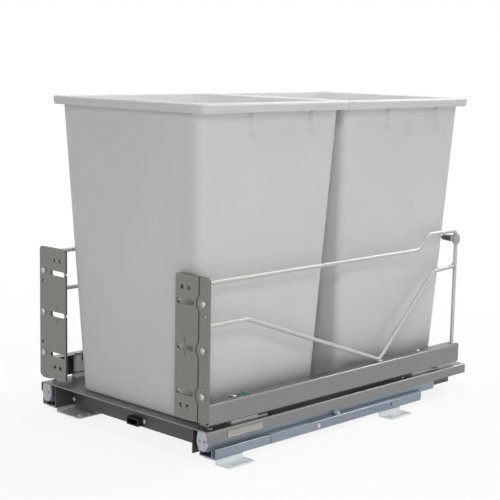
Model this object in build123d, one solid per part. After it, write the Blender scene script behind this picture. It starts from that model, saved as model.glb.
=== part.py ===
from build123d import *
import os

# Pull-out bin carriage for a floor-mounted base cabinet. Millimetres, +Z up, +Y towards the
# cabinet's back. While it is modelled, x = 0 is the slide's middle plane, y = 0 the deck's front
# edge and z = 0 the cabinet floor.

# Deck
deck_width = 356.0
deck_depth = 574.0
deck_lip = 14.5
deck_lip_gap = 8.5
deck_sheet = 1.5
deck_bend_radius = 3.4
deck_corner_ease = 0.1
deck_notch_gap = 2.0

# Slide: cabinet rail, intermediate rail, drawer rail
foot_height = 7.0
rail_height = 14.0
rail_sheet = 1.5
rail_setback = 8.0
rail_length = 449.0
drawer_rail_width = 18.0
drawer_rail_sheet = 1.2
drawer_rail_dip = 4.5
drawer_rail_bend = 2.6
drawer_rail_side_gap = 1.5
drawer_rail_rear_gap = 81.0
drawer_rail_lip_gap = 1.5
middle_rail_setback = 14.0
middle_rail_length = 440.0
middle_rail_sheet = 1.4
middle_rail_shoulder_rise = 2.5

# Ball cages
ball_diameter = 4.0
ball_gap = 0.3
ball_pitch = 40.0
lower_ball_count = 5
upper_ball_count = 5
lower_cage_inset = 121.0
lower_cage_length = 192.0
upper_cage_inset = 130.0
upper_cage_length = 216.0
cage_wall = 2.4
cage_sheet = 1.0
cage_gap = 0.4
lower_ball_rise = 4.0
lower_cage_height = 6.7
upper_ball_drop = 9.0
upper_cage_height = 15.5

# Soft-close sleeve, damper and catch
sleeve_start = 113.0
sleeve_length = 334.0
sleeve_sheet = 1.2
sleeve_cavity = 5.5
sleeve_drop = 0.3
sleeve_bend = 1.8
sleeve_seam = 1.5
catch_inset = 140.0
catch_length = 12.0
catch_head_length = 6.0
catch_height = 8.0
catch_stand = 4.8
catch_gap = 0.3
catch_neck = 3.2
catch_travel = 40.0
catch_slot_lead = 20.0
catch_slot_tail = 1.0
stud_diameter = 4.0
stud_rise = 3.0
stud_reach = 6.5
damper_diameter = 5.0
damper_bore = 3.0
damper_rod_diameter = 2.2
damper_inset = 220.0
damper_length = 105.0
damper_end_wall = 3.0
damper_rod_length = 124.0
damper_drop = 5.3
sleeve_rivet_diameter = 4.0
sleeve_rivet_head = 6.4
sleeve_rivet_head_height = 1.0
sleeve_rivet_rise = 6.3
sleeve_rivet_inset = 97.5
sleeve_hole = 4.0
sleeve_hole_inset = 72.5
sleeve_hole_rise = 7.0
sleeve_window = 8.0
sleeve_window_gap = 4.0
sleeve_window_width = 2.4

# Floor feet
foot_sheet = 2.0
foot_length = 49.0
foot_reach_out = 25.3
foot_reach_in = 53.0
foot_flange = 24.0
foot_front_inset = 26.0
foot_rear_inset = 85.0
foot_corner = 4.0
foot_hole = 4.5
foot_slot = 9.0
foot_slot_pitch = 32.0
foot_hole_edge = 9.0
foot_rivet = 4.0
foot_rivet_head = 6.5
foot_rivet_head_height = 1.1
foot_rivet_pitch = 26.0

# Frame under the deck
channel_gap = 6.5
channel_bottom = 9.0
channel_flange = 8.0
channel_end_gap = 2.0
crossbar_setback = 33.0
crossbar_flange = 12.0
beam_width = 24.0
beam_height = 11.0
beam_sheet = 1.5
beam_bottom = 10.5
beam_overhang = 9.0
crossbar_screw_inset = 4.0
crossbar_screw_beam_gap = 3.8
crossbar_screw_rise = 9.0
frame_screw = 4.0
frame_screw_head = 7.0
frame_screw_head_height = 2.4
frame_screw_length = 6.0
hole_clearance = 0.15
screw_head_round = 0.6
deck_screw_inset = 15.0
deck_screw_rear_inset = 19.238
deck_screw_end = 0.1

# End caps of the drawer rails
cap_thickness = 2.5
cap_plug = 8.0
cap_plug_gap = 0.2
cap_corner = 2.5
cap_foot_width = 11.0
cap_bulge_width = 19.6
cap_bulge_rise = 11.0
cap_head_width = 15.5
cap_hole = 4.0
cap_hole_pitch = 9.0
cap_hole_rise = 13.5
cap_ridge_width = 3.0
cap_ridge_height = 1.2
cap_front_gap = 0.5

# Bare badge plate on the right lip
badge_length = 66.0
badge_height = 9.0
badge_thickness = 0.8
badge_start = 36.0
badge_drop = 4.6

# Upper side rails and the blocks that carry them
side_rail_lift = 6.8
side_rail_height = 29.2
side_rail_flange = 18.0
side_rail_sheet = 1.5
side_rail_bend = 3.0
block_length = 49.0
block_width = 10.0
block_recess = 8.0
block_tail = 20.0
block_tail_height = 2.0
block_front_y = 51.0
block_rear_inset = 111.0
post_length = 45.0
post_width = 7.0
block_gap = 0.2
rail_screw_front_offset = 7.5
rail_screw_rear_offset = 17.5
rail_screw = 4.0
rail_screw_head = 8.0
rail_screw_head_height = 2.6
rail_screw_length = 16.0
rail_slot_width = 5.0
rail_slot_ahead = 8.0
rail_slot_behind = 15.0
lock_offset = 30.0
lock_length = 6.5
lock_width = 5.0
lock_stand = 2.6
lock_depth = 9.0
lock_travel = 2.0
lock_gap = 0.3
lock_edge = 0.9
lock_recess_wall = 2.0
spare_slot_offset = 32.5
spare_slot_length = 9.0
spare_slot_width = 4.0
spare_slot_depth = 6.0

# Door plates
plate_width = 62.0
plate_height = 192.8
plate_lift = 10.4
plate_sheet = 1.5
plate_joggle = 1.2
plate_strip = 18.5
plate_corner = 4.5
backing_sheet = 2.0
backing_inset = 2.0
plate_slot_length = 32.5
plate_slot_width = 7.2
plate_slot_pitch = 60.3
plate_slot_inset = 19.0
plate_pair_diameter = 6.0
plate_pair_pitch = 12.5
plate_pair_edge = 17.5
backing_hole_margin = 1.0
plate_screw = 4.0
plate_screw_head = 8.0
plate_screw_head_height = 4.0
plate_screw_length = 5.5
plate_screw_inset = 9.5
plate_screw_pitch = 61.0
plate_screw_bulge = 13.8
strip_hole = 5.4
strip_hole_inset = 7.5
strip_hole_pitch = 45.0
tick_length = 7.0
tick_width = 1.2
tick_depth = 0.5
tick_gap = 2.0

# Wire gallery
wire_diameter = 6.0
wire_inset = 11.0
top_wire_rise = 194.0
top_wire_step = 22.0
top_wire_step_back = 98.0
top_wire_step_run = 27.0
top_wire_bend = 14.0
post_bend = 9.0
post_inset = 6.0
low_wire_rise = 137.5
low_wire_bend_y = 81.0
low_wire_v_back = 184.0
low_wire_end_back = 56.0
low_wire_end_rise = 157.0
low_wire_end_lift = 3.0
low_wire_bend = 12.0
low_wire_v_bend = 9.0
weld_gap = 0.05
knuckle_width = 13.6
knuckle_height = 19.5
knuckle_rise = 203.0
knuckle_cone_length = 24.0
knuckle_cone_big = 11.5
knuckle_cone_small = 8.4
knuckle_gap = 0.1
knuckle_bin_gap = 0.8
rod_diameter = 6.0
rod_socket_wall = 2.5

# Bins
bin_rim_width = 313.0
bin_rim_depth = 283.5
bin_rim_radius = 10.0
bin_rim_height = 12.4
bin_rim_edge = 3.5
bin_overhang_side = 12.5
bin_overhang_end = 7.0
bin_taper_side = 22.0
bin_taper_end = 20.0
bin_height = 423.0
bin_wall = 2.2
bin_corner = 15.0
bin_foot_bevel = 4.0
bin_gap = 0.5
bin_front_y = -10.75
bin_offset_x = 18.0
rib_height = 28.0
rib_thickness = 2.0
rib_reach = 8.0
rib_positions = (-46.0, 70.0)

# How far a cutting shape runs past what it cuts
past = 1.0

# Derived places, right-hand side
half_deck = deck_width / 2
rail_top = foot_height + rail_height
deck_top = rail_top + deck_lip_gap + deck_lip
deck_under = deck_top - deck_sheet
lip_inner = half_deck - deck_sheet
drawer_rail_out = lip_inner - drawer_rail_lip_gap
rail_x = drawer_rail_out - drawer_rail_width / 2
rail_bore = drawer_rail_width + 2 * drawer_rail_side_gap
rail_width = rail_bore + 2 * rail_sheet
rail_out = rail_x + rail_width / 2
rail_in = rail_x - rail_width / 2
rail_floor = foot_height + rail_sheet
drawer_rail_bottom = rail_top - drawer_rail_dip
middle_shoulder = drawer_rail_bottom + middle_rail_shoulder_rise
drawer_rail_bore = drawer_rail_width - 2 * drawer_rail_sheet
drawer_rail_front = cap_front_gap + cap_thickness
drawer_rail_rear = deck_depth - drawer_rail_rear_gap
ball_space = ball_diameter + 2 * ball_gap
middle_low_width = rail_bore - 2 * ball_space
middle_high_width = drawer_rail_bore - 2 * ball_space
lower_cage_floor = rail_floor + cage_gap
middle_bottom = lower_cage_floor + cage_sheet + cage_gap
upper_cage_roof = deck_under - drawer_rail_sheet - cage_gap
middle_top = upper_cage_roof - cage_sheet - cage_gap
lower_ball_z = rail_floor + lower_ball_rise
upper_ball_z = middle_top - upper_ball_drop
lower_ball_x = rail_bore / 2 - ball_space / 2
upper_ball_x = drawer_rail_bore / 2 - ball_space / 2
lower_cage_start = middle_rail_setback + lower_cage_inset
upper_cage_start = middle_rail_setback + upper_cage_inset
foot_front_y = rail_setback + foot_front_inset
foot_rear_y = rail_setback + rail_length - foot_rear_inset
sleeve_in = rail_out + sleeve_cavity
sleeve_out = sleeve_in + sleeve_sheet
sleeve_top = rail_top - sleeve_drop
cavity_x = rail_out + sleeve_cavity / 2
sleeve_end = sleeve_start + sleeve_length
sleeve_rivet_y = sleeve_start + sleeve_rivet_inset
sleeve_rivet_z = foot_height + sleeve_rivet_rise
catch_y = sleeve_start + catch_inset
damper_start = sleeve_start + damper_inset
damper_z = rail_top - damper_drop
stud_z = sleeve_top + stud_rise
channel_out = rail_in - channel_gap
channel_in = channel_out - deck_sheet
side_rail_bottom = deck_top + side_rail_lift
side_rail_top = side_rail_bottom + side_rail_height
side_rail_in = half_deck - side_rail_flange
block_out = half_deck - block_recess
block_x = block_out - block_width / 2
front_screw_y = block_front_y + rail_screw_front_offset
lock_y = block_front_y + lock_offset
plate_bottom = deck_top + plate_lift
plate_mid = plate_bottom + plate_height / 2
plate_in = half_deck - plate_width
slot_x = plate_in + plate_slot_inset
strip_x = half_deck - plate_screw_inset
strip_hole_x = half_deck - strip_hole_inset
pair_z = plate_height / 2 - plate_pair_edge
wire_x = half_deck - wire_inset
wire_radius = wire_diameter / 2
top_wire_z = deck_top + top_wire_rise
knuckle_z = deck_top + knuckle_rise
bin_base_width = bin_rim_width - 2 * (bin_overhang_side + bin_taper_side)
bin_base_depth = bin_rim_depth - 2 * (bin_overhang_end + bin_taper_end)
bin_body_height = bin_height - bin_rim_height
bin_pitch = bin_rim_depth + bin_gap
rear_bin_y = bin_front_y + bin_rim_depth / 2 + bin_pitch
rear_bin_back = rear_bin_y + bin_base_depth / 2 + bin_taper_end * knuckle_rise / bin_body_height
post_y = rear_bin_back + knuckle_bin_gap + knuckle_width / 2
side_rail_rear = post_y + post_inset
block_rear_y = side_rail_rear - block_rear_inset
rear_screw_y = block_rear_y + rail_screw_rear_offset
top_wire_step_y = post_y - top_wire_step_back
low_wire_v_y = post_y - low_wire_v_back
low_wire_end_bend_y = post_y - low_wire_end_back

nodes = {}


def slab(x0, x1, y0, y1, z0, z1):
    return Pos((x0 + x1) / 2, (y0 + y1) / 2, (z0 + z1) / 2) * Box(x1 - x0, y1 - y0, z1 - z0)


def cylinder_x(radius, x0, x1, y, z):
    return Pos((x0 + x1) / 2, y, z) * Rot(0, 90, 0) * Cylinder(radius, x1 - x0)


def cylinder_y(radius, x, y0, y1, z):
    return Pos(x, (y0 + y1) / 2, z) * Rot(90, 0, 0) * Cylinder(radius, y1 - y0)


def cylinder_z(radius, x, y, z0, z1):
    return Pos(x, y, (z0 + z1) / 2) * Cylinder(radius, z1 - z0)


def front_face(sketch, y0, y1):
    # A sketch drawn in x and z, given depth from y0 to y1.
    return extrude(Plane.XZ.offset(-y0) * sketch, -(y1 - y0))


def mirrored(part):
    return mirror(part, about=Plane.YZ)


def both_sides(name, part):
    nodes[name + "_r"] = part
    nodes[name + "_l"] = mirrored(part)


def group(*parts):
    return Compound(children=[solid for part in parts for solid in part.solids()])


def pair_group(*parts):
    return group(*parts, *[mirrored(part) for part in parts])


# Cabinet rails, fixed to the floor feet
def cabinet_rail():
    outer = slab(rail_in, rail_out, rail_setback, rail_setback + rail_length, foot_height, rail_top)
    bore = slab(rail_in + rail_sheet, rail_out - rail_sheet, rail_setback - past,
                rail_setback + rail_length + past, rail_floor, rail_top + past)
    rail = outer - bore + rail_guard()
    rail -= cylinder_x(sleeve_rivet_diameter / 2, rail_out - 2 * rail_sheet, rail_out + past,
                       sleeve_rivet_y, sleeve_rivet_z)
    for foot_y in (foot_front_y, foot_rear_y):
        for y in foot_rivet_ys(foot_y):
            rail -= cylinder_z(foot_rivet / 2, rail_x, y, foot_height - past, rail_floor + past)
    return rail


def outer_channel(y0, y1):
    # The profile beside the rail: a channel that opens towards the rail's outer wall.
    outer = slab(rail_out, sleeve_out, y0, y1, foot_height, sleeve_top)
    outer = fillet(outer.edges().filter_by(Axis.Y).group_by(Axis.X)[-1], sleeve_bend)
    inner = slab(rail_out - past, sleeve_in, y0 - past, y1 + past, foot_height + sleeve_sheet,
                 sleeve_top - sleeve_sheet)
    return outer - fillet(inner.edges().filter_by(Axis.Y).group_by(Axis.X)[-1], sleeve_bend - sleeve_sheet)


def rail_guard():
    # In front of the sleeve the rail's own sheet carries the same profile on, without a roof.
    y1 = sleeve_start - sleeve_seam
    roof = slab(rail_out - past, sleeve_in, rail_setback - past, y1 + past, sleeve_top - 2 * sleeve_sheet,
                sleeve_top + past)
    return outer_channel(rail_setback, y1) - roof


def foot_rivet_ys(foot_y):
    return (foot_y - foot_rivet_pitch / 2, foot_y + foot_rivet_pitch / 2)


def rail_sleeve():
    sleeve = outer_channel(sleeve_start, sleeve_end)
    neck = catch_neck / 2 + catch_gap
    slot_end = catch_y + catch_head_length + catch_slot_tail
    sleeve -= slab(cavity_x - neck, cavity_x + neck, catch_y - catch_travel - catch_slot_lead,
                   slot_end, sleeve_top - 2 * sleeve_sheet, sleeve_top + past)
    for i in range(2):
        y = slot_end + sleeve_window_gap + i * (sleeve_window + sleeve_window_gap)
        sleeve -= slab(cavity_x - sleeve_window_width / 2, cavity_x + sleeve_window_width / 2, y,
                       y + sleeve_window, sleeve_top - 2 * sleeve_sheet, sleeve_top + past)
    sleeve -= cylinder_x(sleeve_rivet_diameter / 2, sleeve_in - past, sleeve_out + past,
                         sleeve_rivet_y, sleeve_rivet_z)
    sleeve -= cylinder_x(sleeve_hole / 2, sleeve_in - past, sleeve_out + past,
                         sleeve_end - sleeve_hole_inset, foot_height + sleeve_hole_rise)
    return sleeve


def sleeve_rivet():
    shank = cylinder_x(sleeve_rivet_diameter / 2, rail_out - rail_sheet, sleeve_out, sleeve_rivet_y,
                       sleeve_rivet_z)
    head = cylinder_x(sleeve_rivet_head / 2, sleeve_out, sleeve_out + sleeve_rivet_head_height,
                      sleeve_rivet_y, sleeve_rivet_z)
    return shank + head


def floor_foot(foot_y, edge_x, reach):
    # A Z-shaped foot: its upper flange lies under the rail, its plate on the floor points to +x.
    y0 = foot_y - foot_length / 2
    y1 = foot_y + foot_length / 2
    web_x = edge_x + foot_sheet
    tip_x = edge_x + reach
    foot = slab(web_x - foot_flange, web_x, y0, y1, foot_height - foot_sheet, foot_height)
    foot += slab(edge_x, web_x, y0, y1, 0, foot_height)
    plate = slab(edge_x, tip_x, y0, y1, 0, foot_sheet)
    corners = plate.edges().filter_by(Axis.Z).sort_by(Axis.X)[-2:]
    foot += fillet(corners, foot_corner)
    hole_x = tip_x - foot_hole_edge
    foot -= cylinder_z(foot_hole / 2, hole_x, foot_y, -past, foot_sheet + past)
    for side in (-1, 1):
        slot = Pos(hole_x, foot_y + side * foot_slot_pitch / 2, -past) * SlotOverall(foot_slot, foot_hole)
        foot -= extrude(slot, foot_sheet + 2 * past)
    return foot


def foot_rivet_solid(x, y):
    shank = cylinder_z(foot_rivet / 2, x, y, foot_height - foot_sheet, rail_floor)
    head = cylinder_z(foot_rivet_head / 2, x, y, foot_height - foot_sheet - foot_rivet_head_height,
                      foot_height - foot_sheet)
    return shank + head


def build_cabinet_side():
    both_sides("cabinet_rail", cabinet_rail())
    both_sides("rail_sleeve", rail_sleeve())
    rivets = [sleeve_rivet(), mirrored(sleeve_rivet())]
    for place, foot_y in (("front", foot_front_y), ("rear", foot_rear_y)):
        sides = (("r", rail_x, sleeve_out - foot_sheet, foot_reach_out),
                 ("l", -rail_x, -rail_in, foot_reach_in))
        for side, middle, edge, reach in sides:
            foot = floor_foot(foot_y, edge, reach)
            for y in foot_rivet_ys(foot_y):
                foot -= cylinder_z(foot_rivet / 2, middle, y, foot_height - foot_sheet - past,
                                   foot_height + past)
                rivets.append(foot_rivet_solid(middle, y))
            nodes[f"foot_{place}_{side}"] = foot
    nodes["rail_rivets"] = group(*rivets)


# Ball cages and the intermediate rails they run on
def middle_rail():
    y0 = middle_rail_setback
    y1 = middle_rail_setback + middle_rail_length
    low = middle_low_width / 2
    high = middle_high_width / 2
    t = middle_rail_sheet
    rail = slab(rail_x - low, rail_x + low, y0, y1, middle_bottom, middle_shoulder)
    rail += slab(rail_x - high, rail_x + high, y0, y1, middle_shoulder, middle_top)
    rail -= slab(rail_x - low + t, rail_x + low - t, y0 - past, y1 + past, middle_bottom - past,
                 middle_shoulder - t)
    rail -= slab(rail_x - high + t, rail_x + high - t, y0 - past, y1 + past, middle_bottom - past,
                 middle_top - t)
    return rail


def ball_places(start, length, count):
    first = start + (length - (count - 1) * ball_pitch) / 2
    return [first + i * ball_pitch for i in range(count)]


def ball_cage(start, length, half_gap, z_wall, z_sheet, ball_z, ball_ys):
    # A plastic strip with a ball row in each side wall.
    reach = half_gap + cage_wall / 2
    cage = slab(rail_x - reach, rail_x + reach, start, start + length, *z_wall)
    cage -= slab(rail_x - reach + cage_wall, rail_x + reach - cage_wall, start - past,
                 start + length + past, *z_sheet)
    pocket = ball_diameter / 2 + ball_gap
    for y in ball_ys:
        cage -= cylinder_x(pocket, rail_x - reach - past, rail_x + reach + past, y, ball_z)
    return cage


def build_running_gear():
    lower_ys = ball_places(lower_cage_start, lower_cage_length, lower_ball_count)
    upper_ys = ball_places(upper_cage_start, upper_cage_length, upper_ball_count)
    lower = ball_cage(lower_cage_start, lower_cage_length, lower_ball_x,
                      (lower_cage_floor, lower_cage_floor + lower_cage_height),
                      (lower_cage_floor + cage_sheet, lower_cage_floor + lower_cage_height + past),
                      lower_ball_z, lower_ys)
    upper = ball_cage(upper_cage_start, upper_cage_length, upper_ball_x,
                      (upper_cage_roof - upper_cage_height, upper_cage_roof),
                      (upper_cage_roof - upper_cage_height - past, upper_cage_roof - cage_sheet),
                      upper_ball_z, upper_ys)
    both_sides("lower_cage", lower)
    both_sides("upper_cage", upper)
    both_sides("intermediate_rail", middle_rail())
    for name, ys, half_gap, z in (("lower_balls", lower_ys, lower_ball_x, lower_ball_z),
                                  ("upper_balls", upper_ys, upper_ball_x, upper_ball_z)):
        balls = [Pos(rail_x + side * half_gap, y, z) * Sphere(ball_diameter / 2)
                 for y in ys for side in (-1, 1)]
        nodes[name] = pair_group(*balls)


# Soft-close dampers in the sleeves
def damper_catch():
    half = sleeve_cavity / 2 - catch_gap
    top = sleeve_top - sleeve_sheet - catch_gap
    body = slab(cavity_x - half, cavity_x + half, catch_y, catch_y + catch_length, top - catch_height,
                top)
    head = slab(cavity_x - catch_neck / 2, cavity_x + catch_neck / 2, catch_y,
                catch_y + catch_head_length, top, sleeve_top + catch_stand)
    tip = head.edges().filter_by(Axis.X).group_by(Axis.Z)[-1].sort_by(Axis.Y)[-1]
    return body + fillet([tip], catch_head_length / 2)


def damper_cylinder():
    body = cylinder_y(damper_diameter / 2, cavity_x, damper_start, damper_start + damper_length,
                      damper_z)
    bore = cylinder_y(damper_bore / 2, cavity_x, damper_start - past,
                      damper_start + damper_length - damper_end_wall, damper_z)
    return body - bore


def build_soft_close():
    both_sides("damper_catch", damper_catch())
    both_sides("damper_cylinder", damper_cylinder())
    rod_start = catch_y + catch_length
    both_sides("damper_rod", cylinder_y(damper_rod_diameter / 2, cavity_x, rod_start,
                                        rod_start + damper_rod_length, damper_z))


# Drawer rails, their end caps and catch studs
def drawer_rail():
    rail = slab(rail_x - drawer_rail_width / 2, drawer_rail_out, drawer_rail_front, drawer_rail_rear,
                drawer_rail_bottom, deck_under)
    rail = fillet(rail.edges().filter_by(Axis.Y).group_by(Axis.Z)[-1], drawer_rail_bend)
    rail -= slab(rail_x - drawer_rail_bore / 2, rail_x + drawer_rail_bore / 2,
                 drawer_rail_front - past, drawer_rail_rear + past, drawer_rail_bottom - past,
                 deck_under - drawer_rail_sheet)
    rail += cylinder_x(stud_diameter / 2, drawer_rail_out, drawer_rail_out + stud_reach,
                       catch_y - catch_gap - stud_diameter / 2, stud_z)
    for y in deck_screw_ys():
        rail -= cylinder_z(frame_screw / 2 + hole_clearance, rail_x, y,
                           deck_under - drawer_rail_sheet - past, deck_under + past)
    return rail


def end_cap():
    bulge_z = drawer_rail_bottom + cap_bulge_rise
    levels = ((cap_foot_width / 2, drawer_rail_bottom), (cap_bulge_width / 2, bulge_z),
              (cap_head_width / 2, deck_under))
    right = [(rail_x + half, z) for half, z in levels]
    left = [(rail_x - half, z) for half, z in reversed(levels)]
    face = make_face(Polyline(*right, *left, close=True))
    cap = front_face(fillet(face.vertices(), cap_corner), cap_front_gap, drawer_rail_front)
    plug_half = drawer_rail_bore / 2 - cap_plug_gap
    plug_top = deck_under - drawer_rail_sheet - cap_plug_gap
    plug_bottom = plug_top - cap_plug
    cap += slab(rail_x - plug_half, rail_x + plug_half, drawer_rail_front,
                drawer_rail_front + cap_plug, plug_bottom, plug_top)
    cap += slab(rail_x - cap_ridge_width / 2, rail_x + cap_ridge_width / 2,
                cap_front_gap - cap_ridge_height, cap_front_gap, drawer_rail_bottom + cap_corner,
                deck_under - cap_corner)
    for side in (-1, 1):
        cap -= cylinder_y(cap_hole / 2, rail_x + side * cap_hole_pitch / 2, cap_front_gap - past,
                          drawer_rail_front + past, drawer_rail_bottom + cap_hole_rise)
    return cap


def deck_screw_ys():
    # The rear screws keep their distance in front of the rear clamp blocks.
    return (deck_screw_inset, block_rear_y - deck_screw_rear_inset)


# Deck with its rolled lips, and the frame under it
def deck():
    outer = slab(-half_deck, half_deck, 0, deck_depth, deck_top - deck_lip, deck_top)
    rear_corners = outer.edges().filter_by(Axis.Z).group_by(Axis.Y)[-1]
    outer = fillet(rear_corners, deck_bend_radius + deck_corner_ease)
    top_edges = outer.faces().sort_by(Axis.Z)[-1].edges()
    front_edge = top_edges.sort_by(Axis.Y)[0]
    outer = fillet([edge for edge in top_edges if edge != front_edge], deck_bend_radius)
    inner = slab(-lip_inner, lip_inner, -past, deck_depth - deck_sheet, deck_top - deck_lip - past,
                 deck_under)
    inner = fillet(inner.edges().filter_by(Axis.Y).group_by(Axis.Z)[-1], deck_bend_radius - deck_sheet)
    shell = outer - inner
    # The rear lip is cut away over each slide, where the intermediate rail passes under the deck.
    notch = slab(rail_in - deck_notch_gap, lip_inner, deck_depth - deck_sheet, deck_depth + past,
                 deck_top - deck_lip - past, deck_top + past)
    shell -= notch
    shell -= mirrored(notch)
    for side in (-1, 1):
        for y in deck_screw_ys():
            shell -= cylinder_z(frame_screw / 2 + hole_clearance, side * rail_x, y, deck_under - past,
                                deck_top + past)
    return shell


def pan_screw(diameter, head, head_height, length):
    # Head above z = 0, shank below it.
    cap = Pos(0, 0, head_height / 2) * Cylinder(head / 2, head_height)
    cap = fillet(cap.edges().sort_by(Axis.Z)[-1:], head_height * screw_head_round)
    return cap + Pos(0, 0, -length / 2) * Cylinder(diameter / 2, length)


def side_channel():
    y0 = channel_end_gap
    y1 = deck_depth - deck_sheet - channel_end_gap
    wall = slab(channel_in, channel_out, y0, y1, channel_bottom, deck_under)
    return wall + slab(channel_in, channel_out + channel_flange, y0, y1, deck_under - deck_sheet,
                       deck_under)


def crossbar_screw_xs():
    inset = channel_in - crossbar_screw_inset
    return (-inset, beam_width / 2 + crossbar_screw_beam_gap, inset)


def crossbar_screw_z():
    return channel_bottom + crossbar_screw_rise


def crossbar(y, towards):
    # A channel whose web faces away from the middle of the deck.
    inner = y + towards * crossbar_flange
    y0, y1 = sorted((y, inner))
    bar = slab(-channel_in, channel_in, y0, y1, channel_bottom, deck_under)
    web_back = y + towards * deck_sheet
    c0, c1 = sorted((web_back, inner + towards * past))
    bar -= slab(-channel_in - past, channel_in + past, c0, c1, channel_bottom + deck_sheet,
                deck_under - deck_sheet)
    bar -= slab(-beam_width / 2, beam_width / 2, y0 - past, y1 + past, beam_bottom,
                beam_bottom + beam_height)
    bar -= slab(-beam_width / 2, beam_width / 2, c0, c1, channel_bottom - past, beam_bottom)
    for x in crossbar_screw_xs():
        bar -= cylinder_y(frame_screw / 2 + hole_clearance, x, y0 - past, y1 + past, crossbar_screw_z())
    return bar


def centre_beam():
    y0 = crossbar_setback - beam_overhang
    y1 = deck_depth - crossbar_setback + deck_sheet
    beam = slab(-beam_width / 2, beam_width / 2, y0, y1, beam_bottom, beam_bottom + beam_height)
    bore = slab(-beam_width / 2 + beam_sheet, beam_width / 2 - beam_sheet, y0 - past, y1 + past,
                beam_bottom + beam_sheet, beam_bottom + beam_height - beam_sheet)
    return beam - bore


def build_carriage_frame():
    both_sides("drawer_rail", drawer_rail())
    both_sides("end_cap", end_cap())
    nodes["deck"] = deck()
    screw = pan_screw(frame_screw, frame_screw_head, frame_screw_head_height,
                      deck_sheet + drawer_rail_sheet + deck_screw_end)
    nodes["deck_screws"] = pair_group(*[Pos(rail_x, y, deck_top) * screw for y in deck_screw_ys()])
    both_sides("side_channel", side_channel())
    rear_bar = deck_depth - crossbar_setback
    nodes["front_crossbar"] = crossbar(crossbar_setback, 1)
    nodes["rear_crossbar"] = crossbar(rear_bar, -1)
    nodes["centre_beam"] = centre_beam()
    frame_bolt = pan_screw(frame_screw, frame_screw_head, frame_screw_head_height, frame_screw_length)
    front = [Pos(x, crossbar_setback, crossbar_screw_z()) * Rot(90, 0, 0) * frame_bolt
             for x in crossbar_screw_xs()]
    rear = [Pos(x, rear_bar, crossbar_screw_z()) * Rot(-90, 0, 0) * frame_bolt
            for x in crossbar_screw_xs()]
    nodes["crossbar_screws"] = group(*front, *rear)
    badge_top = deck_top - badge_drop
    badge = slab(half_deck, half_deck + badge_thickness, badge_start, badge_start + badge_length,
                 badge_top - badge_height, badge_top)
    nodes["badge_plate"] = badge


# Upper side rails on their clamp blocks, with screws and lock buttons
def side_rail():
    y0 = backing_sheet
    outer = slab(side_rail_in, half_deck, y0, side_rail_rear, side_rail_bottom, side_rail_top)
    out_edges = outer.edges().filter_by(Axis.Y).group_by(Axis.X)[-1]
    rear_edge = outer.edges().filter_by(Axis.Z).group_by(Axis.X)[-1].sort_by(Axis.Y)[-1]
    outer = fillet([*out_edges, rear_edge], side_rail_bend)
    t = side_rail_sheet
    inner = slab(side_rail_in - past, half_deck - t, y0 - past, side_rail_rear - t, side_rail_bottom + t,
                 side_rail_top - t)
    inner_edges = inner.edges().filter_by(Axis.Y).group_by(Axis.X)[-1]
    rail = outer - fillet(inner_edges, side_rail_bend - t)
    for y in (block_front_y, block_rear_y):
        middle = y + block_length / 2
        half = post_length / 2 + block_gap
        width = post_width / 2 + block_gap
        rail -= slab(block_x - width, block_x + width, middle - half, middle + half,
                     side_rail_bottom - past, side_rail_bottom + 2 * t)
    rail -= cylinder_z(rail_screw / 2 + hole_clearance, block_x, rear_screw_y, side_rail_top - 2 * t,
                       side_rail_top + past)
    # The front screw sits in a long slot, with the lock button in a hole of its own behind it.
    slot_y = front_screw_y + (rail_slot_behind - rail_slot_ahead) / 2
    slot = Pos(block_x, slot_y, side_rail_top + past) * Rot(0, 0, 90) * SlotOverall(
        rail_slot_ahead + rail_slot_behind, rail_slot_width)
    rail -= extrude(slot, -2 * t - past)
    rail -= slab(block_x - lock_width / 2 - lock_gap, block_x + lock_width / 2 + lock_gap,
                 lock_y - lock_length / 2 - lock_gap, lock_y + lock_length / 2 + lock_gap,
                 side_rail_top - 2 * t, side_rail_top + past)
    return rail - spare_slot()


def spare_slot():
    # An unused slot behind the rear screw, through the rail's top and into the block's post.
    slot = Pos(block_x, block_rear_y + spare_slot_offset, side_rail_top + past) * Rot(0, 0, 90)
    return extrude(slot * SlotOverall(spare_slot_length, spare_slot_width), -spare_slot_depth - past)


def clamp_block(y, screw_y, with_lock):
    # A plastic block on the deck whose post reaches up inside the rail to its top flange.
    middle = y + block_length / 2
    block = slab(block_x - block_width / 2, block_out, y, y + block_length, deck_top, side_rail_bottom)
    block += slab(block_x - block_width / 2, block_out, y + block_length, y + block_length + block_tail,
                  deck_top, deck_top + block_tail_height)
    post_top = side_rail_top - side_rail_sheet
    post_half = post_width / 2
    block += slab(block_x - post_half, block_x + post_half, middle - post_length / 2,
                  middle + post_length / 2, side_rail_bottom, post_top)
    block -= cylinder_z(rail_screw / 2 + hole_clearance, block_x, screw_y,
                        side_rail_top - rail_screw_length - past, side_rail_top)
    if with_lock:
        block -= slab(block_x - post_half - past, block_x + post_half + past,
                      screw_y + rail_screw / 2 + lock_recess_wall, middle + post_length / 2 + past,
                      post_top - lock_depth - lock_travel - lock_gap, post_top + past)
    return block


def lock_button():
    post_top = side_rail_top - side_rail_sheet
    button = slab(block_x - lock_width / 2, block_x + lock_width / 2,
                  lock_y - lock_length / 2, lock_y + lock_length / 2, post_top - lock_depth,
                  side_rail_top + lock_stand)
    top_edges = button.faces().sort_by(Axis.Z)[-1].edges()
    return fillet(top_edges, lock_edge)


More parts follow.
